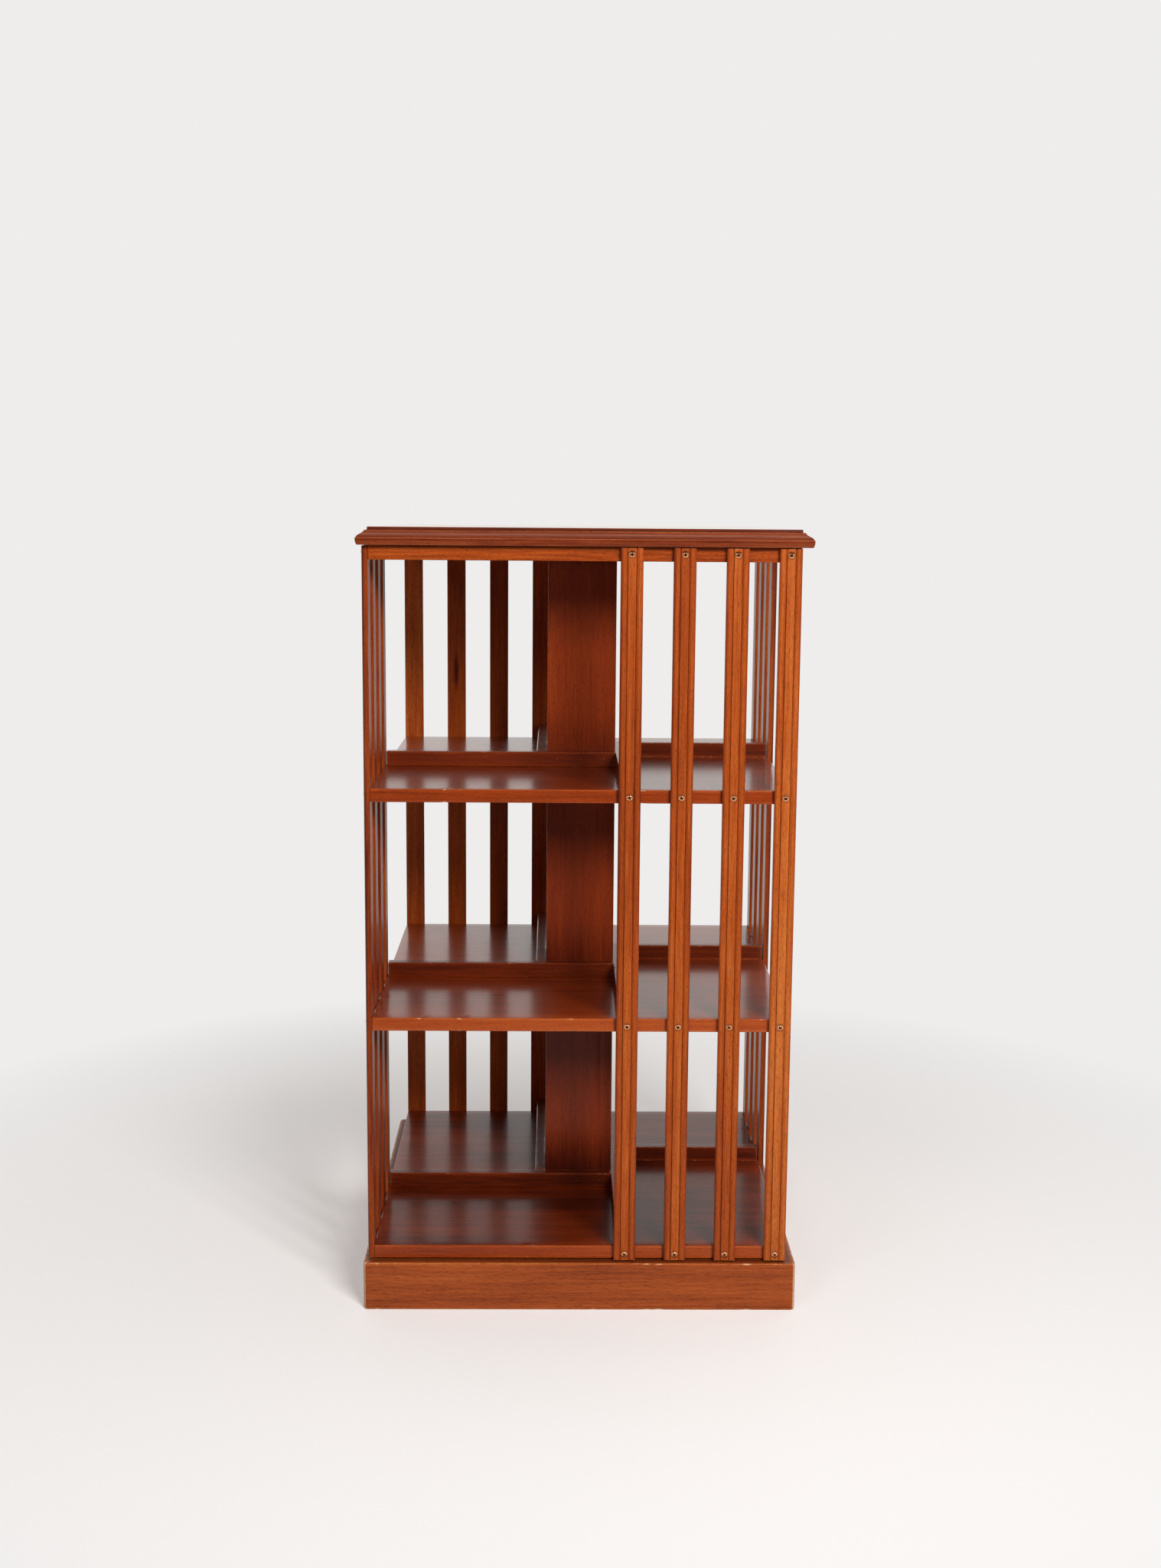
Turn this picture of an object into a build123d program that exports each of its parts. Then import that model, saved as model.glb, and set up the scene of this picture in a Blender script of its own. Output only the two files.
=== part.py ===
from build123d import *
import os

os.makedirs("parts", exist_ok=True)

# Revolving bookcase, millimetres. The origin is the middle of the plinth on the floor, +Z is up,
# and the front is towards -Y. A square case of three tiers turns on a spindle that stands in the
# plinth. Slats, book stops and column boards are set as a pinwheel: each side is the front side
# turned by a quarter turn about the spindle.

# Shelves and tiers
shelf_side = 470.0
shelf_thickness = 15.0
sub_top_thickness = 16.0
lower_tier_height = 253.0
middle_tier_height = 245.0
upper_tier_height = 250.0
board_easing = 0.8

# Moulded top: a square fillet, a step, an ogee, a quirk and a rounded nose
top_side = 495.0
top_thickness = 19.5
top_fillet_height = 3.4
top_fillet_step = 2.8
ogee_width = 8.2
ogee_height = 8.0
quirk_step = 1.1
nose_tuck = 1.8

# Plinth
plinth_side = 493.0
plinth_height = 55.5
plinth_board = 20.0
plinth_corner_easing = 1.6
plinth_easing = 1.2
running_gap = 1.5

# Base panel inside the plinth
base_panel_thickness = 18.0
corner_block_height = 18.0
corner_block_lift = 4.0
corner_block_leg = 64.0

# Boxed column
column_side = 82.0
column_board = 14.0
column_easing = 1.0

# Book stops
stop_height = 18.0
stop_thickness = 13.0
stop_easing = 1.2
stop_end_gap = 1.5

# Slats: a flat between two quirked beads
slat_count = 4
slat_width = 24.4
slat_thickness = 7.0
slat_pitch = 57.3
slat_top_gap = 0.6
bead_width = 7.2
bead_drop = 1.8
quirk_width = 0.8

# Wood screws: raised heads on the slats, countersunk heads inside, drawn with flat sides
slat_screw_head = 7.0
slat_screw_head_height = 1.5
slat_screw_shank = 3.6
slat_screw_length = 24.0
frame_screw_head = 9.0
frame_screw_shank = 4.5
base_panel_screw_length = 31.0
top_screw_length = 28.0
top_screw_inset = 78.0
screw_clearance = 0.1
frame_screw_sides = 8
slat_screw_sides = 6
coach_screw_sides = 6

# Spindle and its foot
spindle_diameter = 25.0
spindle_flange_diameter = 110.0
spindle_flange_thickness = 6.0
spindle_hub_diameter = 38.0
spindle_hub_height = 11.0
spindle_tip_diameter = 16.0
spindle_tip_height = 5.0
spindle_passage = 4.0
coach_screw_circle = 82.0
coach_screw_shank = 6.0
coach_screw_length = 20.0
coach_screw_head = 10.0
coach_screw_head_height = 4.0

# Guide bushes and pivot plate
bush_diameter = 34.0
bush_flange_diameter = 46.0
bush_flange_thickness = 3.0
bush_running_clearance = 0.05
bush_seat_clearance = 0.05
pivot_plate_side = 44.0
pivot_plate_thickness = 6.0
pivot_cup_depth = 4.0
pivot_clearance = 0.05

# Heights from the floor up
case_bottom = plinth_height + running_gap
bottom_shelf_top = case_bottom + shelf_thickness
lower_shelf_bottom = bottom_shelf_top + lower_tier_height
lower_shelf_top = lower_shelf_bottom + shelf_thickness
upper_shelf_bottom = lower_shelf_top + middle_tier_height
upper_shelf_top = upper_shelf_bottom + shelf_thickness
sub_top_bottom = upper_shelf_top + upper_tier_height
sub_top_top = sub_top_bottom + sub_top_thickness
case_top = sub_top_top + top_thickness
slat_top = sub_top_top - slat_top_gap
base_panel_bottom = corner_block_lift + corner_block_height
base_panel_top = base_panel_bottom + base_panel_thickness

# Places along a side, seen from outside: slats cover the right half
half_shelf = shelf_side / 2
half_column = column_side / 2
half_plinth = plinth_side / 2
slat_lefts = [half_shelf - slat_width - slat_pitch * step for step in reversed(range(slat_count))]
slat_centres = [left + slat_width / 2 for left in slat_lefts]
slat_screw_heights = [
    case_bottom + shelf_thickness / 2,
    lower_shelf_bottom + shelf_thickness / 2,
    upper_shelf_bottom + shelf_thickness / 2,
    sub_top_bottom + sub_top_thickness / 2,
]
quarter_turn = 90
head_taper_angle = 45
side_names = ["front", "right", "back", "left"]
tiers = {
    "lower": (bottom_shelf_top, lower_tier_height),
    "middle": (lower_shelf_top, middle_tier_height),
    "upper": (upper_shelf_top, upper_tier_height),
}


def plan_plane(side, height):
    """Level plane at a height, turned so that the side's outside is towards its -y."""
    return Plane.XY.rotated((0, 0, quarter_turn * side)).offset(height)


def side_plane(side, distance):
    """Upright plane facing out of a side: x runs to the right, y is the height."""
    plan = plan_plane(side, 0)
    return Plane(plan.y_dir * -distance, x_dir=plan.x_dir, z_dir=-plan.y_dir)


def save(piece, label):
    """Name a finished piece and write it."""
    piece.part.label = label
    export_step(piece.part, f"parts/{label}.step")


# Plinth: four mitred boards, eased along the top arris
def build_plinth_board(side):
    with BuildPart() as board:
        with BuildSketch(plan_plane(side, 0)):
            with BuildLine():
                inner = half_plinth - plinth_board
                corner = half_plinth - plinth_corner_easing / 2
                shoulder = half_plinth - plinth_corner_easing
                Polyline(
                    (-shoulder, -half_plinth),
                    (shoulder, -half_plinth),
                    (corner, -corner),
                    (inner, -inner),
                    (-inner, -inner),
                    (-corner, -corner),
                    close=True,
                )
            make_face()
        extrude(amount=plinth_height)
        arris = board.edges().group_by(Axis.Z)[-1].sort_by(SortBy.LENGTH)[-1]
        chamfer(arris, plinth_easing)
    save(board, f"plinth_{side_names[side]}_board")


for side in range(4):
    build_plinth_board(side)


# Base panel on corner blocks
panel_side = plinth_side - 2 * plinth_board
half_panel = panel_side / 2
panel_screw_place = half_panel - corner_block_leg / 3
coach_screw_radius = coach_screw_circle / 2
coach_screw_hole = coach_screw_shank / 2 + screw_clearance
frame_screw_hole = frame_screw_shank / 2 + screw_clearance

with BuildPart() as corner_blocks:
    for side in range(4):
        with BuildSketch(plan_plane(side, corner_block_lift)):
            with BuildLine():
                Polyline(
                    (-half_panel, -half_panel),
                    (corner_block_leg - half_panel, -half_panel),
                    (-half_panel, corner_block_leg - half_panel),
                    close=True,
                )
            make_face()
            with Locations((-panel_screw_place, -panel_screw_place)):
                RegularPolygon(frame_screw_hole, frame_screw_sides, major_radius=False, mode=Mode.SUBTRACT)
        extrude(amount=corner_block_height)
save(corner_blocks, "plinth_corner_blocks")


# Countersunk wood screw pointing along -Z, with the flat of its head at the origin. The hole for it
# is the same form with the clearance added.
def build_frame_screw(length, clearance):
    head_depth = (frame_screw_head - frame_screw_shank) / 2
    facing_down = Plane.XY.rotated((180, 0, 0))
    with BuildPart() as screw:
        with BuildSketch(facing_down):
            RegularPolygon(frame_screw_head / 2 + clearance, frame_screw_sides, major_radius=False)
        extrude(amount=head_depth, taper=head_taper_angle)
        with BuildSketch(facing_down.offset(head_depth)):
            RegularPolygon(frame_screw_shank / 2 + clearance, frame_screw_sides, major_radius=False)
        extrude(amount=length + clearance - head_depth)
    return screw.part


base_panel_screw = build_frame_screw(base_panel_screw_length, 0)
base_panel_screw_hole = build_frame_screw(base_panel_screw_length, screw_clearance)

with BuildPart() as base_panel:
    with BuildSketch(Plane.XY.offset(base_panel_bottom)):
        Rectangle(panel_side, panel_side)
        with PolarLocations(coach_screw_radius, 4):
            RegularPolygon(coach_screw_hole, coach_screw_sides, major_radius=False, mode=Mode.SUBTRACT)
    extrude(amount=base_panel_thickness)
    with Locations(Plane.XY.offset(base_panel_top)):
        with GridLocations(2 * panel_screw_place, 2 * panel_screw_place, 2, 2):
            add(base_panel_screw_hole, mode=Mode.SUBTRACT)
save(base_panel, "base_panel")

with BuildPart() as base_panel_screws:
    with Locations(Plane.XY.offset(base_panel_top)):
        with GridLocations(2 * panel_screw_place, 2 * panel_screw_place, 2, 2):
            add(base_panel_screw)
save(base_panel_screws, "base_panel_screws")

# Spindle: foot flange, hub and shaft turned as one piece, with a stub journal at its top
spindle_radius = spindle_diameter / 2
spindle_tip_radius = spindle_tip_diameter / 2
spindle_top = sub_top_bottom + pivot_cup_depth - pivot_clearance
spindle_flange_top = base_panel_top + spindle_flange_thickness
spindle_hub_top = base_panel_top + spindle_hub_height

with BuildPart() as spindle:
    with BuildSketch(Plane.XZ):
        with BuildLine():
            Polyline(
                (0, spindle_top),
                (0, base_panel_top),
                (spindle_flange_diameter / 2, base_panel_top),
                (spindle_flange_diameter / 2, spindle_flange_top),
                (spindle_hub_diameter / 2, spindle_flange_top),
                (spindle_hub_diameter / 2, spindle_hub_top),
                (spindle_radius, spindle_hub_top),
                (spindle_radius, spindle_top - spindle_tip_height),
                (spindle_tip_radius, spindle_top - spindle_tip_height),
                (spindle_tip_radius, spindle_top),
                close=True,
            )
        make_face()
    revolve(axis=Axis.Z)
    with BuildSketch(Plane.XY.offset(base_panel_top)):
        with PolarLocations(coach_screw_radius, 4):
            RegularPolygon(coach_screw_hole, coach_screw_sides, major_radius=False)
    extrude(amount=spindle_flange_thickness, mode=Mode.SUBTRACT)
save(spindle, "spindle")

with BuildPart() as coach_screws:
    with BuildSketch(Plane.XY.offset(spindle_flange_top)):
        with PolarLocations(coach_screw_radius, 4):
            RegularPolygon(coach_screw_head / 2, coach_screw_sides, major_radius=False)
    extrude(amount=coach_screw_head_height)
    with BuildSketch(Plane.XY.offset(spindle_flange_top)):
        with PolarLocations(coach_screw_radius, 4):
            RegularPolygon(coach_screw_shank / 2, coach_screw_sides, major_radius=False)
    extrude(amount=-coach_screw_length)
save(coach_screws, "spindle_coach_screws")


# Shelves: eased boards with a bore for the spindle and pilot holes for the slat screws
slat_screw_hole = slat_screw_shank / 2 + screw_clearance


def build_shelf(label, bottom, thickness, bore):
    with BuildPart() as shelf:
        with BuildSketch(Plane.XY.offset(bottom)):
            Rectangle(shelf_side, shelf_side)
        extrude(amount=thickness)
        chamfer(shelf.edges(), board_easing)
        with BuildSketch(Plane.XY.offset(bottom)):
            Circle(bore / 2)
        extrude(amount=thickness, mode=Mode.SUBTRACT)
        add(build_pilot_holes(bottom + thickness / 2), mode=Mode.SUBTRACT)
    save(shelf, label)


def build_pilot_holes(height):
    with BuildPart() as holes:
        for side in range(4):
            with BuildSketch(side_plane(side, half_shelf)):
                with Locations(*[(centre, height) for centre in slat_centres]):
                    RegularPolygon(slat_screw_hole, slat_screw_sides, major_radius=False)
            extrude(amount=slat_thickness - slat_screw_length - screw_clearance)
    return holes.part


bush_bore = bush_diameter + 2 * bush_seat_clearance
clear_bore = spindle_diameter + 2 * spindle_passage
build_shelf("bottom_shelf", case_bottom, shelf_thickness, bush_bore)
build_shelf("lower_shelf", lower_shelf_bottom, shelf_thickness, clear_bore)
build_shelf("upper_shelf", upper_shelf_bottom, shelf_thickness, bush_bore)

# Sub-top: carries the pivot plate in a housing in its underside, and the moulded top on screws
top_screw_place = half_shelf - top_screw_inset
top_screw = build_frame_screw(top_screw_length, 0)
top_screw_hole = build_frame_screw(top_screw_length, screw_clearance)
sub_top_underside = Plane.XY.offset(sub_top_bottom).rotated((180, 0, 0))

with BuildPart() as sub_top:
    with BuildSketch(Plane.XY.offset(sub_top_bottom)):
        Rectangle(shelf_side, shelf_side)
    extrude(amount=sub_top_thickness)
    chamfer(sub_top.edges(), board_easing)
    with BuildSketch(Plane.XY.offset(sub_top_bottom)):
        Rectangle(pivot_plate_side, pivot_plate_side)
    extrude(amount=pivot_plate_thickness, mode=Mode.SUBTRACT)
    with Locations(sub_top_underside):
        with GridLocations(2 * top_screw_place, 2 * top_screw_place, 2, 2):
            add(top_screw_hole, mode=Mode.SUBTRACT)
    add(build_pilot_holes(sub_top_bottom + sub_top_thickness / 2), mode=Mode.SUBTRACT)
save(sub_top, "sub_top")

# Pivot plate: the case hangs with the floor of its cup on the spindle's stub
with BuildPart() as pivot_plate:
    with BuildSketch(Plane.XY.offset(sub_top_bottom)):
        Rectangle(pivot_plate_side, pivot_plate_side)
    extrude(amount=pivot_plate_thickness)
    with BuildSketch(Plane.XY.offset(sub_top_bottom)):
        Circle(spindle_tip_radius + pivot_clearance)
    extrude(amount=pivot_cup_depth, mode=Mode.SUBTRACT)
save(pivot_plate, "pivot_plate")

with BuildPart() as top_screws:
    with Locations(sub_top_underside):
        with GridLocations(2 * top_screw_place, 2 * top_screw_place, 2, 2):
            add(top_screw)
save(top_screws, "top_fixing_screws")


# Guide bushes: flanged sleeves pushed up into the bottom and upper shelves
bush_bore_radius = spindle_radius + bush_running_clearance

with BuildPart() as guide_bushes:
    for bottom in (case_bottom, upper_shelf_bottom):
        with BuildSketch(Plane.XZ):
            with BuildLine():
                Polyline(
                    (bush_bore_radius, bottom - bush_flange_thickness),
                    (bush_flange_diameter / 2, bottom - bush_flange_thickness),
                    (bush_flange_diameter / 2, bottom),
                    (bush_diameter / 2, bottom),
                    (bush_diameter / 2, bottom + shelf_thickness),
                    (bush_bore_radius, bottom + shelf_thickness),
                    close=True,
                )
            make_face()
        revolve(axis=Axis.Z)
save(guide_bushes, "guide_bushes")


# Moulded top: one outline drawn for both directions, so the mouldings meet in mitres
def draw_top_outline(plane):
    tip = top_side / 2
    fillet_bottom = top_thickness - top_fillet_height
    nose_top = fillet_bottom - ogee_height
    ogee_end = tip - quirk_step
    ogee_start = ogee_end - ogee_width
    flat_edge = ogee_start - top_fillet_step
    ogee_middle = ((ogee_start + ogee_end) / 2, (nose_top + fillet_bottom) / 2)
    with BuildSketch(plane) as outline:
        with BuildLine():
            Polyline((0, top_thickness), (flat_edge, top_thickness), (flat_edge, fillet_bottom))
            Line((flat_edge, fillet_bottom), (ogee_start, fillet_bottom))
            hollow = TangentArc((ogee_start, fillet_bottom), ogee_middle, tangent=(0, -1))
            TangentArc(ogee_middle, (ogee_end, nose_top), tangent=hollow % 1)
            Line((ogee_end, nose_top), (tip, nose_top))
            TangentArc((tip, nose_top), (tip - nose_tuck, 0), tangent=(0, -1))
            Line((tip - nose_tuck, 0), (0, 0))
            mirror(about=Plane.YZ)
        make_face()
    return outline.sketch


top_from_front = draw_top_outline(Plane.XZ.shift_origin((0, 0, sub_top_top)))
top_from_side = draw_top_outline(Plane.YZ.shift_origin((0, 0, sub_top_top)))

with BuildPart() as moulded_top:
    extrude(top_from_front, amount=top_side / 2, both=True)
    extrude(top_from_side, amount=top_side / 2, both=True, mode=Mode.INTERSECT)
    with Locations(sub_top_underside):
        with GridLocations(2 * top_screw_place, 2 * top_screw_place, 2, 2):
            add(top_screw_hole, mode=Mode.SUBTRACT)
save(moulded_top, "moulded_top")


# Column: four boards in each tier, each lapping the next
def build_column_board(tier, side):
    bottom, height = tiers[tier]
    with BuildPart() as board:
        with BuildSketch(plan_plane(side, bottom)):
            with Locations((-half_column, -half_column)):
                Rectangle(column_side - column_board, column_board, align=(Align.MIN, Align.MIN))
        extrude(amount=height)
        corner = board.edges().filter_by(Axis.Z).sort_by_distance((0, 0, bottom))[-1]
        chamfer(corner, column_easing)
    save(board, f"column_{tier}_{side_names[side]}")


# Book stops: low strips from the column out to the shelf's edge
def build_stop(tier, side):
    bottom = tiers[tier][0]
    with BuildPart() as stop:
        with BuildSketch(plan_plane(side, bottom)):
            with Locations((half_column, -half_column)):
                stop_length = half_column + half_shelf - stop_end_gap
                Rectangle(stop_length, stop_thickness, align=(Align.MAX, Align.MAX))
        extrude(amount=stop_height)
        arrises = stop.edges().group_by(Axis.Z)[-1].group_by(SortBy.LENGTH)[-1]
        chamfer(arrises, stop_easing)
    save(stop, f"stop_{tier}_{side_names[side]}")


for tier in tiers:
    for side in range(4):
        build_column_board(tier, side)
        build_stop(tier, side)


# Slats: beaded strips screwed to the shelf edges
slat_back = -half_shelf
slat_crown = slat_back - slat_thickness


def draw_slat_section(side, left):
    valley = slat_crown + bead_drop
    right = left + slat_width
    left_quirk = left + bead_width
    right_quirk = right - bead_width
    with BuildSketch(plan_plane(side, case_bottom)) as section:
        with BuildLine():
            Polyline((left, valley), (left, slat_back), (right, slat_back), (right, valley))
            ThreePointArc((right, valley), (right - bead_width / 2, slat_crown), (right_quirk, valley))
            Polyline(
                (right_quirk, valley),
                (right_quirk - quirk_width, valley),
                (right_quirk - quirk_width, slat_crown),
                (left_quirk + quirk_width, slat_crown),
                (left_quirk + quirk_width, valley),
                (left_quirk, valley),
            )
            ThreePointArc((left_quirk, valley), (left + bead_width / 2, slat_crown), (left, valley))
        make_face()
    return section.sketch


def build_slat(side, number):
    with BuildPart() as slat:
        extrude(draw_slat_section(side, slat_lefts[number]), amount=slat_top - case_bottom)
        with BuildSketch(side_plane(side, half_shelf)):
            with Locations(*[(slat_centres[number], height) for height in slat_screw_heights]):
                RegularPolygon(slat_screw_hole, slat_screw_sides, major_radius=False)
        extrude(amount=slat_thickness, mode=Mode.SUBTRACT)
    save(slat, f"slat_{side_names[side]}_{number + 1}")


for side in range(4):
    for number in range(slat_count):
        build_slat(side, number)

# Slat screw standing on the slat's face, with the underside of its raised head at the origin
with BuildPart() as slat_screw:
    with BuildSketch():
        RegularPolygon(slat_screw_head / 2, slat_screw_sides, major_radius=False)
    extrude(amount=slat_screw_head_height, taper=head_taper_angle)
    with BuildSketch():
        RegularPolygon(slat_screw_shank / 2, slat_screw_sides, major_radius=False)
    extrude(amount=-slat_screw_length)

with BuildPart() as slat_screws:
    for side in range(4):
        with Locations(side_plane(side, half_shelf + slat_thickness)):
            with Locations(*[(centre, height) for centre in slat_centres for height in slat_screw_heights]):
                add(slat_screw.part)
save(slat_screws, "slat_screws")
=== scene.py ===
import math

import bpy
import numpy as np
from mathutils import Matrix, Vector


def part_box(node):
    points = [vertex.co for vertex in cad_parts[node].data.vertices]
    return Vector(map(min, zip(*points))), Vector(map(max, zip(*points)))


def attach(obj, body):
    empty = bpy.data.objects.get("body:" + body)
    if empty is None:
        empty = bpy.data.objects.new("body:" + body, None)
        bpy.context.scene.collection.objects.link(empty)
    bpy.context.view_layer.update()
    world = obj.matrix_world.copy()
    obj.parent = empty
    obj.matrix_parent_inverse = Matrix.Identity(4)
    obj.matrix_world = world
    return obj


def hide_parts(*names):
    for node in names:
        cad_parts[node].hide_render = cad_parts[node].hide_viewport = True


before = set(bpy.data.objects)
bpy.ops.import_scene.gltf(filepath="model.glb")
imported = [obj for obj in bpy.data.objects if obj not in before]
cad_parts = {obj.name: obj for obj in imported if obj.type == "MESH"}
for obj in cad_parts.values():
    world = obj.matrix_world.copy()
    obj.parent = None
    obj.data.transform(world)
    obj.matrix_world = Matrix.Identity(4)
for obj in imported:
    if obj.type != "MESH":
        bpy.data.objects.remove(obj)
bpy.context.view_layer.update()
scene = bpy.context.scene
mm = 0.001
sideNames = ["front", "right", "back", "left"]
tierNames = ["lower", "middle", "upper"]
slatsPerSide = 4
boardSpread = 6.0   # how far apart in the log the boards are cut, in metres
dice = np.random.default_rng(1904)
print("frame loaded with", len(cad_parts), "nodes")


class Wire:
    # a shader socket: + - and * on it add Math nodes
    def __init__(self, tree, socket=None):
        self.tree = tree
        self.socket = socket

    def node(self, kind, settings=None, inputs=None, out=0):
        made = self.tree.nodes.new(kind)
        for key, value in (settings or {}).items():
            if key == "stops":
                self.fillRamp(made.color_ramp, value)
            else:
                setattr(made, key, value)
        for key, value in (inputs or {}).items():
            if isinstance(value, Wire):
                self.tree.links.new(value.socket, made.inputs[key])
            else:
                made.inputs[key].default_value = value
        return Wire(self.tree, made.outputs[out] if len(made.outputs) else None)

    def fillRamp(self, ramp, stops):
        while len(ramp.elements) < len(stops):
            ramp.elements.new(1.0)
        for element, (place, colour) in zip(ramp.elements, stops):
            element.position = place
            element.color = (*colour, 1.0)

    def maths(self, operation, first, second=0.0, clamp=False):
        settings = {"operation": operation, "use_clamp": clamp}
        return self.node("ShaderNodeMath", settings, {0: first, 1: second})

    def __add__(self, other):
        return self.maths("ADD", self, other)

    def __radd__(self, other):
        return self.maths("ADD", other, self)

    def __sub__(self, other):
        return self.maths("SUBTRACT", self, other)

    def __rsub__(self, other):
        return self.maths("SUBTRACT", other, self)

    def __mul__(self, other):
        return self.maths("MULTIPLY", self, other)

    def __rmul__(self, other):
        return self.maths("MULTIPLY", other, self)

    def held(self):
        # kept between 0 and 1
        return self.maths("ADD", self, 0.0, clamp=True)

    def step(self, low, high):
        # 0 below low, 1 above high, straight between them
        return ((self - low) * (1.0 / (high - low))).held()

    def blend(self, first, second):
        # colours mixed by this mask
        return self.node(
            "ShaderNodeMix", {"data_type": "RGBA"}, {0: self, 6: first, 7: second}, out=2)

    def stretched(self, perMetre):
        return self.node("ShaderNodeVectorMath", {"operation": "MULTIPLY"}, {0: self, 1: perMetre})

    def noise(self, perMetre, detail=2.0, rough=0.5, twist=0.0):
        return self.node("ShaderNodeTexNoise", {}, {
            "Vector": self.stretched(perMetre), "Scale": 1.0, "Detail": detail,
            "Roughness": rough, "Distortion": twist})


def rgb(red, green, blue):
    # a colour as read off a screen, made linear
    shares = [part / 255 for part in (red, green, blue)]
    return tuple(((share + 0.055) / 1.055) ** 2.4 if share > 0.04 else share / 12.92 for share in shares)


def solid(colour):
    # a screen colour as a colour socket takes it
    return (*rgb(*colour), 1.0)


def newMaterial(name):
    material = bpy.data.materials.new(name)
    material.use_nodes = True
    material.node_tree.nodes.clear()
    return material, Wire(material.node_tree)


def painted(bench, key):
    # a value that the mesh carries at its points
    return bench.node("ShaderNodeAttribute", {"attribute_name": key}, out=2)


def bumped(bench, look, height):
    return bench.node("ShaderNodeBump", {}, {
        "Strength": look["bumpStrength"], "Distance": look["bumpDepth"], "Height": height})


def finishSurface(bench, constants, links):
    shader = bench.node("ShaderNodeBsdfPrincipled", {}, {**constants, **links})
    bench.node("ShaderNodeOutputMaterial", {}, {"Surface": shader})


mahoganyLooks = {
    # dark, middle and light wood, then how strong each layer of grain, wear and polish is
    "slat": {
        "dark": (120, 43, 13), "middle": (171, 76, 24), "light": (206, 116, 52),
        "broad": 0.34, "ribbon": 0.34, "fibre": 0.4, "figure": 0.0, "pore": 0.5,
        "wear": 0.75, "coat": 0.55, "gloss": 0.44, "shine": 0.3},
    "stop": {
        "dark": (76, 23, 6), "middle": (111, 38, 11), "light": (143, 61, 23),
        "broad": 0.3, "ribbon": 0.3, "fibre": 0.4, "figure": 0.1, "pore": 0.5,
        "wear": 0.85, "coat": 0.9, "gloss": 0.4, "shine": 0.18},
    "column": {
        "dark": (96, 30, 10), "middle": (145, 54, 18), "light": (182, 80, 30),
        "broad": 0.34, "ribbon": 0.18, "fibre": 0.26, "figure": 0.0, "pore": 0.45,
        "wear": 0.6, "coat": 0.9, "gloss": 0.4, "shine": 0.2},
    "shelf": {
        "dark": (104, 34, 8), "middle": (152, 58, 14), "light": (184, 86, 34),
        "broad": 0.36, "ribbon": 0.24, "fibre": 0.3, "figure": 0.1, "pore": 0.4,
        "wear": 0.9, "coat": 1.0, "coatIor": 1.32, "gloss": 0.36, "shine": 0.17},
    "top": {
        "dark": (88, 32, 13), "middle": (126, 52, 23), "light": (160, 80, 42),
        "broad": 0.36, "ribbon": 0.3, "fibre": 0.4, "figure": 0.2, "pore": 0.45,
        "wear": 0.7, "coat": 1.0, "gloss": 0.45, "shine": 0.03},
    "plinth": {
        "dark": (114, 45, 15), "middle": (168, 79, 32), "light": (200, 112, 54),
        "broad": 0.34, "ribbon": 0.3, "fibre": 0.32, "figure": 0.1, "pore": 0.4, "poreSize": 1.5,
        "wear": 1.0, "coat": 0.9, "gloss": 0.44, "shine": 0.24},
    "rail": {
        "dark": (112, 41, 9), "middle": (164, 69, 17), "light": (196, 100, 40),
        "broad": 0.4, "ribbon": 0.3, "fibre": 0.36, "figure": 0.24, "pore": 0.55,
        "wear": 0.6, "coat": 0.9, "gloss": 0.4, "shine": 0.2},
    "carcass": {
        "dark": (150, 112, 74), "middle": (184, 146, 102), "light": (206, 172, 128),
        "broad": 0.3, "ribbon": 0.3, "fibre": 0.4, "figure": 0.3, "pore": 0.3,
        "wear": 0.0, "coat": 0.0, "gloss": 0.7, "shine": 0.4},
}
mahoganyLooks["low_shelf"] = {**mahoganyLooks["shelf"], "coat": 0.6}   # less polish left
mahoganyShared = {
    "noises": {   # cells per metre along, across and through the grain, then detail, roughness and twist
        "broad": ((2.6, 15, 15), 2.0, 0.5, 0.0),
        "ribbon": ((3.4, 105, 105), 2.0, 0.55, 0.4),
        "fibre": ((24, 640, 640), 3.0, 0.6, 0.0),
        "pore": ((230, 1700, 1700), 1.0, 0.5, 0.3),
        "speckle": ((170, 210, 210), 3.0, 0.6, 0.0),
        "sway": ((4.5, 24, 24), 2.0, 0.5, 0.6),
        "smudge": ((34, 30, 30), 3.0, 0.55, 0.0),
    },
    "figureLines": 1150.0, "figureSlant": 0.8, "figureSway": 26.0,   # radians per metre, share, radians
    "plainLevel": 0.5, "layerReach": {"broad": 1.6, "ribbon": 1.5, "fibre": 1.5, "figure": 0.3},
    "rampPlaces": (0.16, 0.5, 0.88), "deepest": 0.45,
    "poreStep": (0.56, 0.68), "poreSize": 1.0, "poreColour": (62, 20, 8),
    "wornStep": (0.66, 0.96), "wornSpeckle": 0.9, "rawWood": (228, 180, 136),
    # grime colour and mask: real grime, and also painted shade under the sub-top, on the plinth's ledge and
    # at the columns' heads
    "grime": (34, 13, 7), "grimeAndShadeLevel": 0.9, "grimeAndShadeSpeckle": 0.7,
    "smudgeRough": 0.16, "wornRough": 0.3, "grimeAndShadeRough": 0.25,
    "smudgeCoat": 0.3, "wornCoat": 0.8, "grimeAndShadeCoat": 0.7, "coatIor": 1.23, "specular": 0.1,
    "fibreHeight": 0.5, "poreHeight": 0.7, "wornHeight": 0.8, "bumpStrength": 0.35, "bumpDepth": 0.22 * mm,
}


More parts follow.
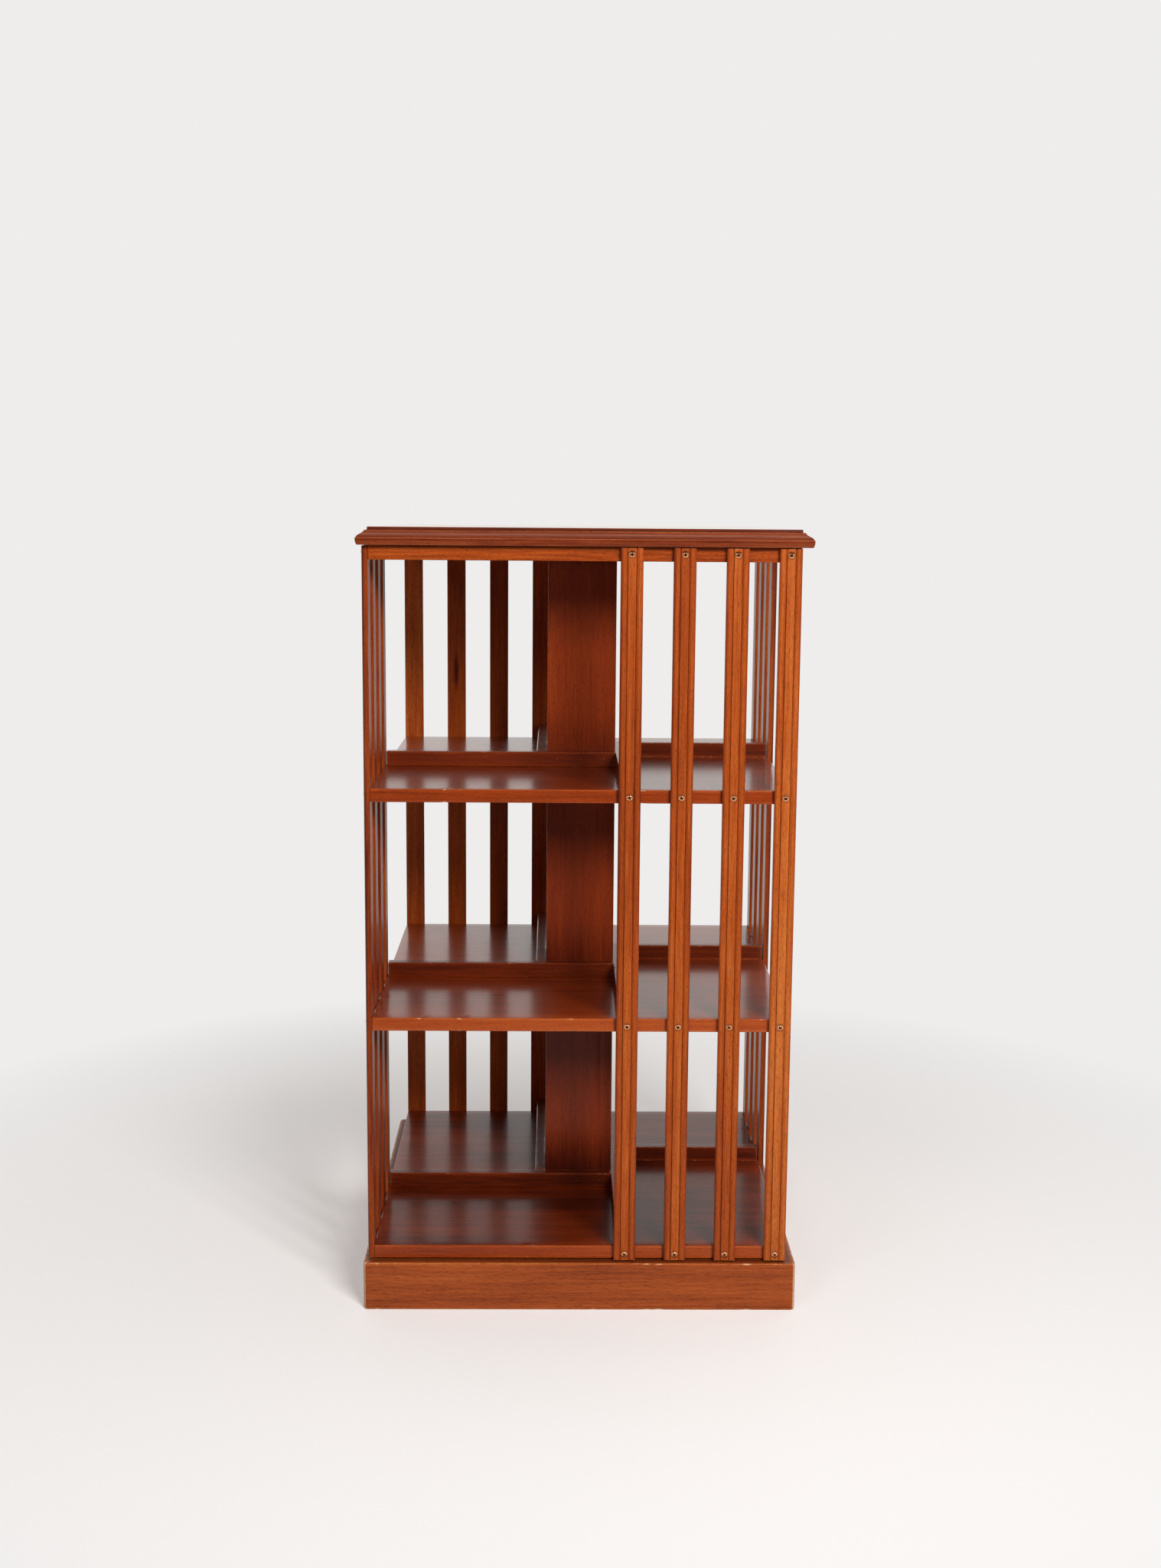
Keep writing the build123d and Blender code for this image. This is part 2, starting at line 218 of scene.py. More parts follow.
def grainLayers(grain, look):
    # noises along the grain, moved to swing about 0 where they lighten and darken the wood
    layers = {}
    for key, (cells, *habit) in look["noises"].items():
        size = look["poreSize"] if key == "pore" else 1.0
        noise = grain.noise(tuple(perMetre / size for perMetre in cells), *habit)
        layers[key] = noise if key in ("pore", "sway") else noise - 0.5
    layers["pore"] = layers["pore"].step(*look["poreStep"])
    # growth lines: a sine across the grain, pushed about by slow noise
    across, through = (grain.node("ShaderNodeSeparateXYZ", {}, {0: grain}, out=axis) for axis in (1, 2))
    phase = (across + through * look["figureSlant"]) * look["figureLines"]
    layers["figure"] = grain.maths("SINE", phase + layers["sway"] * look["figureSway"])
    return layers


def mahogany(lookName, fromAttributes=True):
    # polished mahogany: broad tone, ribbon, fibre, wavy figure and short pores along the grain's x
    look = {**mahoganyShared, **mahoganyLooks[lookName]}
    material, bench = newMaterial("mahogany_" + lookName)
    if fromAttributes:
        grain = bench.node("ShaderNodeAttribute", {"attribute_name": "grain"}, out=1)
    else:
        grain = bench.node("ShaderNodeTexCoord", out=3)
    wear, grime, tone = (painted(bench, key) for key in ("wear", "grime", "tone"))
    layers = grainLayers(grain, look)
    fibre, pore, speckle, smudge = (layers[key] for key in ("fibre", "pore", "speckle", "smudge"))
    # the tone value holds the wood's own tone and also painted light and shade
    level = tone + look["plainLevel"]
    for key, reach in look["layerReach"].items():
        level = level + layers[key] * (look[key] * reach)
    shades = [rgb(*look[key]) for key in ("dark", "middle", "light")]
    deepest = tuple(part * look["deepest"] for part in shades[0])
    stops = [(0.0, deepest), *zip(look["rampPlaces"], shades)]
    wood = bench.node("ShaderNodeValToRGB", {"stops": stops}, {0: level})
    worn = (wear + speckle * look["wornSpeckle"]).step(*look["wornStep"]) * look["wear"]
    # grime and painted shade, taken towards the grime colour
    grimedAndShaded = (grime * (look["grimeAndShadeLevel"] + speckle * look["grimeAndShadeSpeckle"])).held()
    wood = (pore * look["pore"]).blend(wood, solid(look["poreColour"]))
    wood = worn.blend(wood, solid(look["rawWood"]))
    wood = grimedAndShaded.blend(wood, solid(look["grime"]))
    roughness = (look["gloss"] + smudge * look["smudgeRough"] + worn * look["wornRough"]
                 + grimedAndShaded * look["grimeAndShadeRough"]).held()
    coat = (look["coat"] * (1.0 - worn * look["wornCoat"]) * (1.0 - grimedAndShaded * look["grimeAndShadeCoat"])
            * (1.0 + smudge * look["smudgeCoat"])).held()
    height = fibre * look["fibreHeight"] - pore * look["poreHeight"] - worn * look["wornHeight"]
    constants = {"Specular IOR Level": look["specular"], "Coat Roughness": look["shine"],
                 "Coat IOR": look["coatIor"]}
    finishSurface(bench, constants, {
        "Base Color": wood, "Roughness": roughness, "Coat Weight": coat,
        "Normal": bumped(bench, look, height)})
    return material


metalLooks = {
    "brass": {"bright": (240, 172, 124), "dull": (184, 112, 72),
              "rough": 0.18, "spread": 0.15, "cells": 900},
    "steel": {"bright": (176, 176, 174), "dull": (112, 110, 106),
              "rough": 0.3, "spread": 0.25, "cells": 260},
    "zinc": {"bright": (188, 184, 170), "dull": (128, 124, 112),
             "rough": 0.38, "spread": 0.25, "cells": 420},
}
metalShared = {
    "tarnishStep": (0.35, 0.72), "plainPatch": 0.4, "scratchStretch": (6, 0.6, 6),
    "grime": (30, 16, 8), "grimeAndShadeRough": 0.4, "bumpStrength": 0.2, "bumpDepth": 0.05 * mm,
}


def metalFinish(lookName):
    # turned metal: patches of tarnish over bright metal, darkened where the grime value says: on the pins,
    # and in the screws' cross and at their rim
    look = {**metalShared, **metalLooks[lookName]}
    material, bench = newMaterial("metal_" + lookName)
    place = bench.node("ShaderNodeTexCoord", out=3)
    grime = painted(bench, "grime")
    patch = place.noise((look["cells"],) * 3, 3.0, 0.6)
    scratch = place.noise(tuple(look["cells"] * stretch for stretch in look["scratchStretch"]), 2.0)
    metal = patch.step(*look["tarnishStep"]).blend(solid(look["bright"]), solid(look["dull"]))
    metal = grime.blend(metal, solid(look["grime"]))
    roughness = look["rough"] + (patch - look["plainPatch"]) * look["spread"] + grime * look["grimeAndShadeRough"]
    finishSurface(bench, {"Metallic": 1.0}, {
        "Base Color": metal, "Roughness": roughness.held(), "Normal": bumped(bench, look, scratch)})
    return material


plasticLook = {
    "pale": (226, 222, 210), "dull": (200, 194, 178), "cells": (180, 180, 60),
    "rough": 0.35, "flowRough": 0.2, "bumpStrength": 0.15, "bumpDepth": 0.1 * mm,
}


def mouldedPlastic():
    # off-white acetal with faint flow mottling
    look = plasticLook
    material, bench = newMaterial("plastic_bush")
    flow = bench.node("ShaderNodeTexCoord", out=3).noise(look["cells"], 3.0)
    tint = flow.blend(solid(look["pale"]), solid(look["dull"]))
    finishSurface(bench, {}, {
        "Base Color": tint, "Roughness": look["rough"] + flow * look["flowRough"],
        "Normal": bumped(bench, look, flow)})
    return material


finishes = {name: mahogany(name) for name in mahoganyLooks if name != "carcass"}
finishes["carcass"] = mahogany("carcass", fromAttributes=False)
finishes.update({name: metalFinish(name) for name in metalLooks})
finishes["plastic"] = mouldedPlastic()
print("finishes ready:", ", ".join(finishes))


def skinRings(rings, looped=False):
    # quads between neighbouring rings of points; open ends get one flat face each
    count, around = rings.shape[:2]
    index = np.arange(count * around).reshape(count, around)
    lower = index if looped else index[:-1]
    upper = np.roll(index, -1, axis=0) if looped else index[1:]
    quads = np.stack([lower, np.roll(lower, -1, 1), np.roll(upper, -1, 1), upper], axis=-1).reshape(-1, 4)
    points = rings.reshape(-1, 3)
    corners = points[quads] - points.mean(axis=0)
    volume = np.einsum("ij,ij->", corners[:, 0], np.cross(corners[:, 1], corners[:, 2]))
    faces = quads.tolist()
    if not looped:
        faces += [index[0, ::-1].tolist(), index[-1].tolist()]
    if volume < 0:
        faces = [face[::-1] for face in faces]
    return points, faces


def addPiece(name, points, faces, finish, values, body, nodes, sharp=36):
    mesh = bpy.data.meshes.new(name)
    mesh.from_pydata(points.tolist(), [], faces)
    for key, data in values.items():
        kind = "FLOAT_VECTOR" if data.ndim == 2 else "FLOAT"
        attribute = mesh.attributes.new(key, kind, "POINT")
        attribute.data.foreach_set("vector" if data.ndim == 2 else "value", data.astype(np.float32).ravel())
    mesh.shade_smooth()
    mesh.set_sharp_from_angle(angle=math.radians(sharp))
    mesh.materials.append(finishes[finish])
    piece = bpy.data.objects.new(name, mesh)
    scene.collection.objects.link(piece)
    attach(piece, body)
    if nodes:
        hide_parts(*nodes)
    return piece


def grainFrom(points, order):
    # board coordinates along, across and through the grain, from a board of its own
    return points.reshape(-1, 3)[:, order] + dice.uniform(0.0, boardSpread, 3)


def stray(spread):
    # each board's wood is a little lighter or darker than the next
    return dice.uniform(-spread, spread)


def surfaceMaps(grain, wear, grime, tone):
    # what the mahogany reads at each point; a plain number covers the whole piece
    maps = {"wear": wear, "grime": grime, "tone": tone}
    spread = {key: np.broadcast_to(np.ravel(part), len(grain)) for key, part in maps.items()}
    return {"grain": grain, **spread}


def turnPlan(points, side):
    # quarter turns about the spindle: x cos - y sin, x sin + y cos
    cosine, sine = [(1, 0), (0, 1), (-1, 0), (0, -1)][side]
    x, y, z = np.moveaxis(points, -1, 0)
    return np.stack([x * cosine - y * sine, x * sine + y * cosine, z], axis=-1)


def quarterTurn(count):
    return np.radians(np.linspace(0, 90, count))


def fade(distance, reach):
    # 1 at no distance, falling straight to 0 at reach
    return np.clip(1 - distance / reach, 0, 1)


def roundCorners(points, half, radius):
    # plan points outside the arc at a square's corner are drawn in on to it
    plan = points[..., :2]
    out = np.abs(plan) - (half - radius)
    reach = np.hypot(out[..., 0], out[..., 1])
    beyond = (out.min(axis=-1) > 0) & (reach > radius)
    pulled = np.sign(plan) * (half - radius + out * (radius / np.maximum(reach, 1e-9))[..., None])
    result = points.copy()
    result[..., :2] = np.where(beyond[..., None], pulled, plan)
    return result


def nearArris(points, low, high, reach):
    # 1 on an arris of the box, falling to 0 at reach: the second smallest distance to its faces
    gaps = np.minimum(points - low, high - points)
    return fade(np.sort(gaps, axis=-1)[..., 1], reach)


def chipField(along, spots):
    # the highest of bell curves along an arris, one per chip: (place, half length, strength)
    field = np.zeros_like(along)
    for place, spread, strength in spots:
        field = np.maximum(field, strength * np.exp(-((along - place) / spread) ** 2))
    return field


loopForm = {"cornerPoints": 7, "easePoints": 5, "fewestBetween": 4, "fewestRings": 6}


def roundedLoop(low, high, radii, step):
    # rectangle with four rounded corners, anticlockwise from the low corner, with points every step
    arcs = []
    corners = [(low[0], low[1], 180), (high[0], low[1], 270), (high[0], high[1], 0), (low[0], high[1], 90)]
    for (x, y, start), radius in zip(corners, radii):
        inward = np.array([1 if x == low[0] else -1, 1 if y == low[1] else -1])
        angle = math.radians(start) + quarterTurn(loopForm["cornerPoints"])
        arcs.append(np.array([x, y]) + radius * (inward + np.stack([np.cos(angle), np.sin(angle)], axis=-1)))
    loop = []
    for arc, following in zip(arcs, arcs[1:] + arcs[:1]):
        run = following[0] - arc[-1]
        between = max(loopForm["fewestBetween"], int(np.linalg.norm(run) / step) + 2)
        loop += [arc, arc[-1] + np.linspace(0, 1, between)[1:-1, None] * run]
    return np.concatenate(loop)


def carriedBoard(low, high, form):
    # a rounded section in x and y carried up z, drawn in on a quarter round at both ends
    section, ease = roundedLoop(low[:2], high[:2], form["radii"], form["step"]), form["endEase"]
    turn = quarterTurn(loopForm["easePoints"])
    length = high[2] - low[2]
    count = max(loopForm["fewestRings"], int(length / form["step"]))
    run = np.linspace(ease, length - ease, count)[1:-1]
    up, inset = ease * (1 - np.cos(turn)), ease * (1 - np.sin(turn))
    rise = np.concatenate([up, run, length - up[::-1]])[:, None]
    inset = np.concatenate([inset, np.zeros(len(run)), inset[::-1]])[:, None]
    x = np.clip(section[None, :, 0], low[0] + inset, high[0] - inset)
    y = np.clip(section[None, :, 1], low[1] + inset, high[1] - inset)
    return np.stack([x, y, np.broadcast_to(low[2] + rise, x.shape)], axis=-1)


def lyingBoard(low, high, form):
    # the same with its section in y and z, carried along x
    order = [1, 2, 0]
    return carriedBoard(low[order], high[order], form)[..., [2, 0, 1]]


slatForm = {
    "bead": 7.4 * mm, "beadPoints": 15, "drop": 1.35 * mm, "quirk": 0.3 * mm, "quirkDepth": 0.2 * mm,
    "quirkShares": (0.3, 0.7), "sideShares": (0.0, 0.35, 0.8), "ease": 0.45 * mm, "easePoints": 4,
    "flatPoints": 5, "backPoints": 14,
    "endRound": 1.5 * mm, "endSteps": np.array([0, 0.15, 0.35, 0.6, 0.9, 1.3, 2.2, 4.0]) * mm,
    "step": 7 * mm, "evenFrom": 8 * mm, "evenTo": 6 * mm, "screwReach": 6.5 * mm, "screwPoints": 17,
    "sideWear": (0.55, 0.1, 0.1), "beadWear": 0.28, "quirkWear": (0, 0, 0, 0.1), "easeWear": 0.6,
    "endWear": 0.95, "endWearReach": 2.2 * mm, "frontFrom": 0.4,
    "footDark": 0.3, "footFrom": 0.6, "quirkDirt": (0.15, 0.15, 0.15, 0.1), "easeDirt": 0.1,
    "screwRing": 3.8 * mm, "ringWidth": 0.6 * mm, "ringDark": 0.7,
    # painted shade on the beads' outer sides (edgeTone) and in the quirks
    "edgeTone": -0.3, "edgePower": 1.4, "quirkShade": -0.14,
    # painted light and shade: the front slats lighter towards the right, where the light falls, and the side
    # slats darker than the front
    "paintedLightTones": (0.01, -0.02, 0.06, 0.15), "toneSpread": 0.06, "sideShades": (0.0, -0.19, -0.1, -0.28),
    "streak": {"slat": "slat_back_3", "height": 0.69, "across": 13.0 * mm, "wide": 2.6 * mm, "tall": 19 * mm,
               "depth": 0.75},
    "slot": "slat_mahogany",
}


def slatSection(width, thick):
    # half of the front: bead arc of chord bead and height drop, quirk floor, flat with an eased edge
    form = slatForm
    bead, quirk, drop, ease = (form[key] for key in ("bead", "quirk", "drop", "ease"))
    valley, edge = thick - drop, bead + quirk
    quirkFloor = valley - form["quirkDepth"]
    radius = (bead ** 2 / 4 + drop ** 2) / (2 * drop)
    swing = math.asin(bead / 2 / radius)
    turn = np.linspace(-swing, swing, form["beadPoints"])
    lean = turn / swing   # -1 at the bead's outer foot, 1 at its inner foot
    bow = quarterTurn(form["easePoints"])
    flat = np.linspace(edge + ease, width / 2, form["flatPoints"])[1:]
    side, plain = np.zeros(len(form["sideShares"])), np.zeros(len(flat))
    across = np.concatenate([
        side, bead / 2 + radius * np.sin(turn), [bead + quirk * share for share in form["quirkShares"]],
        [edge, edge], edge + ease * (1 - np.cos(bow)), flat])
    depth = np.concatenate([
        valley * np.array(form["sideShares"]), thick - radius + radius * np.cos(turn),
        [quirkFloor, quirkFloor, valley, valley + drop / 2],
        thick - ease + ease * np.sin(bow), plain + thick])
    wear = np.concatenate([
        form["sideWear"], form["beadWear"] * np.cos(lean * math.pi / 2), form["quirkWear"],
        form["easeWear"] * np.sin(2 * bow), plain])
    grime = np.concatenate([
        side, np.clip(lean - form["footFrom"], 0, 1) * form["footDark"], form["quirkDirt"],
        form["easeDirt"] * np.cos(bow), plain])
    # painted shade: darker down the outer side of each bead and in the quirk, as light falls on a rounded
    # bead
    outer, inner = np.clip(-lean, 0, 1) ** form["edgePower"], np.clip(lean, 0, 1)
    shade = np.concatenate([
        side, form["edgeTone"] * outer + form["quirkShade"] * inner,
        np.full(len(form["quirkDirt"]), form["quirkShade"]), np.zeros(len(bow)), plain])
    mirror = slice(-2, None, -1)
    return (np.concatenate([across, width - across[mirror]]),
            *(np.concatenate([part, part[mirror]]) for part in (depth, wear, grime, shade)))


def screwHeights():
    boards = ("bottom_shelf", "lower_shelf", "upper_shelf", "sub_top")
    return [sum(corner.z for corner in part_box(board)) / 2 for board in boards]


def slatRise(low, high, heights):
    # rings stand close at the rounded ends and round each screw, and evenly between
    form, length = slatForm, high.z - low.z
    near = np.linspace(-1, 1, form["screwPoints"]) * form["screwReach"]
    even = np.arange(form["evenFrom"], length - form["evenTo"], form["step"])
    byScrews = [near + height - low.z for height in heights]
    rise = np.concatenate([form["endSteps"], length - form["endSteps"], even, *byScrews])
    return np.unique(np.round(np.clip(rise, 0, length), 6))


def slatBlank(low, high, heights):
    # rings of a front slat, with its wear, its grime and dark rings, and its painted shade
    form = slatForm
    width, thick, length = high.x - low.x, high.y - low.y, high.z - low.z
    across, *maps = slatSection(width, thick)
    back = np.linspace(1, 0, form["backPoints"])[1:-1]
    across = np.concatenate([across, width * back])
    depth, wear, grime, shade = (np.concatenate([part, np.zeros(len(back))]) for part in maps)
    rise = slatRise(low, high, heights)
    fromEnd = np.minimum(rise, length - rise)
    # the front of the ends is a quarter round: thick - r + sqrt(r^2 - (r - distance from the end)^2)
    bow = form["endRound"]
    limit = thick - bow + np.sqrt(np.clip(bow ** 2 - np.clip(bow - fromEnd, 0, bow) ** 2, 0, None))
    deep = np.minimum(depth[None, :], limit[:, None])
    x = np.broadcast_to(low.x + across, deep.shape)
    z = np.broadcast_to((low.z + rise)[:, None], deep.shape)
    front = depth > thick * form["frontFrom"]
    endWear = fade(fromEnd, form["endWearReach"])[:, None] * front * form["endWear"]
    # a dark ring round each screw head
    ring = np.zeros(deep.shape)
    for height in heights:
        gap = np.hypot(x - (low.x + width / 2), z - height)
        ring = np.maximum(ring, np.exp(-((gap - form["screwRing"]) / form["ringWidth"]) ** 2))
    rings = np.stack([x, high.y - deep, z], axis=-1)
    return (rings, np.maximum(wear, endWear), np.maximum(grime, ring * front * form["ringDark"]),
            np.broadcast_to(shade, deep.shape))


def streakTone(rings, low):
    # a dark streak in the wood: a bell curve across and along
    streak = slatForm["streak"]
    aside, along = rings[..., 0] - (low.x + streak["across"]), rings[..., 2] - streak["height"]
    return -streak["depth"] * np.exp(-(aside / streak["wide"]) ** 2 - (along / streak["tall"]) ** 2)


def buildSlats():
    form, heights = slatForm, screwHeights()
    for number in range(slatsPerSide):
        low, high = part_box(f"slat_front_{number + 1}")
        rings, wear, grime, shade = slatBlank(low, high, heights)
        for side, sideName in enumerate(sideNames):
            node = f"slat_{sideName}_{number + 1}"
            points, faces = skinRings(turnPlan(rings, side))
            # front slats take painted light; the other sides take a random tone, and painted shade for their
            # side
            ownToneAndLight = form["paintedLightTones"][number] if side == 0 else stray(form["toneSpread"])
            tone = shade + ownToneAndLight + form["sideShades"][side]
            if node == form["streak"]["slat"]:
                tone = tone + streakTone(rings, low)
            values = surfaceMaps(grainFrom(rings, [2, 0, 1]), wear, grime, tone)
            addPiece(f"beaded_{node}", points, faces, "slat", values, "case", [node])


buildSlats()
print("slats: 16 beaded strips")


columnForm = {
    "radii": np.array([1.0, 0.15, 0.1, 0.1]) * mm, "endEase": 0.1 * mm, "step": 9 * mm,
    "wear": 0.8, "wearReach": 2.2 * mm, "wearBand": 3 * mm,
    "footDark": 0.3, "footReach": 6 * mm, "underShade": (0.0, 0.12, 0.6), "underReach": 12 * mm,
    "footShades": (-0.5, -0.34, -0.3), "shadeReach": 70 * mm,
    "paintedLightTones": (-0.17, -0.06, 0.0), "toneSpread": 0.03, "slot": "column_mahogany",
}


def buildColumns():
    form = columnForm
    for level, tier in enumerate(tierNames):
        low, high = (np.array(corner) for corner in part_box(f"column_{tier}_front"))
        rings = carriedBoard(low, high, form)
        height = rings[..., 2]
        bareCorner = rings[..., :2].sum(-1) < low[:2].sum() + form["wearBand"]
        wear = nearArris(rings, low, high, form["wearReach"]) * bareCorner * form["wear"]
        # painted shade at the head of each column under the board above, strongest in the upper tier
        under = fade(high[2] - height, form["underReach"]) * form["underShade"][level]
        # darker at the foot of each column, where it meets the shelf
        foot = fade(height - low[2], form["footReach"]) * form["footDark"]
        # painted shade: the column is darker towards its foot
        shading = fade(height - low[2], form["shadeReach"]) * form["footShades"][level]
        for side, sideName in enumerate(sideNames):
            node = f"column_{tier}_{sideName}"
            points, faces = skinRings(turnPlan(rings, side))
            grain = grainFrom(rings, [2, 0, 1])
            # painted shade by tier, the lower tiers darker, and a random tone
            tone = shading + form["paintedLightTones"][level] + stray(form["toneSpread"])
            values = surfaceMaps(grain, wear, np.maximum(under, foot), tone)
            addPiece(f"veneered_{node}", points, faces, "column", values, "case", [node])


stopForm = {
    "radii": np.array([1.3, 0.2, 0.2, 1.3]) * mm, "endEase": 0.5 * mm, "step": 3 * mm,
    "wear": 0.7, "wearReach": 3.0 * mm, "arrisHighlight": 0.5, "highlightReach": 1.7 * mm,
    "chips": 4, "chipSpread": (2 * mm, 6 * mm), "chipStrength": 0.63, "chipDepth": 0.5 * mm,
    # painted shade: the stops darker in the lower tiers
    "paintedLightTones": (-0.26, -0.18, -0.12), "toneSpread": 0.04, "slot": "stop_mahogany",
}


def buildStops():
    form = stopForm
    for tier, tierShade in zip(tierNames, form["paintedLightTones"]):
        low, high = (np.array(corner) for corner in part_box(f"stop_{tier}_front"))
        rings = lyingBoard(low, high, form)
        arris = nearArris(rings, low, high, form["wearReach"])
        # painted highlight along the arrises
        highlight = nearArris(rings, low, high, form["highlightReach"])
        for side, sideName in enumerate(sideNames):
            node = f"stop_{tier}_{sideName}"
            spots = [(dice.uniform(low[0], high[0]), dice.uniform(*form["chipSpread"]), form["chipStrength"])
                     for _ in range(form["chips"])]
            chips = chipField(rings[..., 0], spots) * arris
            worn = rings.copy()
            worn[..., 2] -= chips * form["chipDepth"]
            points, faces = skinRings(turnPlan(worn, side))
            # painted shade by tier, a random tone, and a painted highlight along the arrises
            tone = tierShade + stray(form["toneSpread"]) + form["arrisHighlight"] * highlight
            wear = np.maximum(arris * form["wear"], chips)
            values = surfaceMaps(grainFrom(rings, [0, 1, 2]), wear, 0.0, tone)
            addPiece(f"eased_{node}", points, faces, "stop", values, "case", [node])


plinthForm = {
    "radii": np.array([0.3, 0.3, 0.3, 1.4]) * mm, "endEase": 0.1 * mm, "step": 2.5 * mm,
    "cornerRadius": 1.8 * mm,
    "wear": 0.74, "wearReach": 3.2 * mm, "wearBand": 6 * mm, "arrisHighlight": 0.4, "highlightReach": 1.8 * mm,
    "frontChips": np.array([-231, 16, 77, 91, 165, 191]) * mm, "frontStretch": 1.5,
    "chips": 7, "chipSpread": (1.5 * mm, 6 * mm), "chipStrength": (0.6, 1.0),
    "cornerChips": ((-1, 4 * mm, 1.0), (1, 3 * mm, 0.9)),
    "chipFrom": 10 * mm, "chipDown": 0.8 * mm, "chipIn": 0.5 * mm, "chipWear": 1.3,
    "footDark": 0.25, "footReach": 5 * mm,
    "ledge": 0.2 * mm, "ledgeShade": 0.6, "ledgeReach": 3 * mm, "ledgeFrom": 0.5,
    "toneSpread": 0.02, "slot": "plinth_mahogany",
}


def buildPlinth():
    form = plinthForm
    low, high = (np.array(corner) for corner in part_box("plinth_front_board"))
    half = high[0]
    rings = lyingBoard(low, high, form)
    inward, height = rings[..., 1] - low[1], rings[..., 2]
    mitred = rings.copy()
    mitred[..., 0] *= 1 - inward / half   # ends cut back to 45 degrees
    bareFront = inward < form["wearBand"]
    arris = nearArris(rings, low, high, form["wearReach"]) * bareFront
    # painted highlight along the front arrises
    highlight = nearArris(rings, low, high, form["highlightReach"]) * bareFront
    # darker at the plinth's foot
    foot = fade(height - low[2], form["footReach"]) * form["footDark"]
    # painted shade on the ledge under the bottom shelf
    ledge = np.clip(inward / form["ledgeReach"] - form["ledgeFrom"], 0, 1) * form["ledgeShade"]
    grime = np.maximum(foot, ledge * (height > high[2] - form["ledge"]))
    for side, sideName in enumerate(sideNames):
        node = f"plinth_{sideName}_board"
        places = form["frontChips"] if side == 0 else dice.uniform(-half, half, form["chips"])
        stretch = form["frontStretch"] if side == 0 else 1.0
        spots = [(place, dice.uniform(*form["chipSpread"]) * stretch, dice.uniform(*form["chipStrength"]))
                 for place in places]
        spots += [(end * half, spread, strength) for end, spread, strength in form["cornerChips"]]
        chips = chipField(mitred[..., 0], spots) * arris
        worn = mitred.copy()
        worn[..., 2] -= np.where(height > low[2] + form["chipFrom"], chips * form["chipDown"], 0)
        worn[..., 1] += chips * form["chipIn"]
        points, faces = skinRings(turnPlan(roundCorners(worn, half, form["cornerRadius"]), side))
        tone = stray(form["toneSpread"]) + form["arrisHighlight"] * highlight
        wear = np.maximum(arris * form["wear"], chips * form["chipWear"])
        values = surfaceMaps(grainFrom(rings, [0, 2, 1]), wear, grime, tone)
        addPiece(f"mitred_{node}", points, faces, "plinth", values, "base", [node])


buildColumns()
buildStops()
buildPlinth()
print("boards: 12 column, 12 stop and 4 plinth boards")


def squareRings(halves, heights, roundness, perSide):
    # ring i is (1 - k) square + k circle of half size halves[i]
    run = np.linspace(-1, 1, perSide, endpoint=False)
    crowded = (3 * run - run ** 3) / 2   # crowds the points into the corners
    edge = np.stack([crowded, -np.ones(perSide)], axis=-1)
    quarter = np.array([[0, 1], [-1, 0]])
    square = np.concatenate([edge @ np.linalg.matrix_power(quarter, turn) for turn in range(4)])
    circle = square / np.linalg.norm(square, axis=1)[:, None]
    k = np.asarray(roundness, float)[:, None, None]
    plan = ((1 - k) * square + k * circle) * np.asarray(halves)[:, None, None]
    level = np.broadcast_to(np.asarray(heights)[:, None, None], (*plan.shape[:2], 1))
    return np.concatenate([plan, level], axis=-1)


shelfForm = {
    "ease": 1.0 * mm, "edgePoints": 6, "cornerRadius": 1.6 * mm, "perSide": 210,
    "faceShares": np.array([0, 0.12, 0.3, 0.5, 0.7, 0.86, 0.95]), "faceMargin": 4 * mm, "roundPower": 1.5,
    "wear": 0.68, "wearReach": 3.0 * mm, "arrisHighlight": 0.35, "highlightReach": 1.5 * mm,
    "chips": 3, "chipSpread": (1.5 * mm, 5 * mm), "chipStrength": (0.6, 1.0),
    "frontSpread": (3 * mm, 6 * mm), "chipPower": 1.5, "chipDepth": 0.4 * mm, "chipWear": 1.3,
    "innerShadeTone": -0.22, "innerReach": 105 * mm, "slot": "shelf_mahogany",
    "boards": {
        "bottom_shelf": {"bore": 17.05 * mm, "finish": "low_shelf", "faceTone": -0.3, "edgeTone": 0.05,
                         "frontChips": np.array([-61, 118]) * mm},
        "lower_shelf": {"bore": 16.5 * mm, "finish": "shelf", "faceTone": -0.12, "edgeTone": 0.1,
                        "frontChips": np.array([-182, -137, -11]) * mm},
        "upper_shelf": {"bore": 17.05 * mm, "finish": "shelf", "faceTone": -0.17, "edgeTone": -0.03,
                        "frontChips": np.array([-153, 64]) * mm},
    },
}


def edgeProfile(half, low, high):
    # half size and height down a board's eased edge: quarter round, face, quarter round
    ease, turn = shelfForm["ease"], quarterTurn(shelfForm["edgePoints"])
    upper = np.stack([half - ease + ease * np.sin(turn), high - ease + ease * np.cos(turn)], axis=-1)
    levels = np.linspace(high - ease, low + ease, shelfForm["edgePoints"])[1:-1]
    face = np.stack([np.full(len(levels), half), levels], axis=-1)
    return np.concatenate([upper, face, upper[::-1] * (1, -1) + (0, high + low)])


def shelfRings(low, high, bore):
    # from the bore's top out over the face, down the edge, and back below to the bore
    form, share = shelfForm, shelfForm["faceShares"]
    edge = edgeProfile(high.x, low.z, high.z)
    faceHalf = bore + (high.x - form["faceMargin"] - bore) * share
    faceRound = (1 - share) ** form["roundPower"]
    halves = np.concatenate([faceHalf, edge[:, 0], faceHalf[::-1]])
    heights = np.concatenate([np.full(len(share), high.z), edge[:, 1], np.full(len(share), low.z)])
    rounds = np.concatenate([faceRound, np.zeros(len(edge)), faceRound[::-1]])
    return squareRings(halves, heights, rounds, form["perSide"])


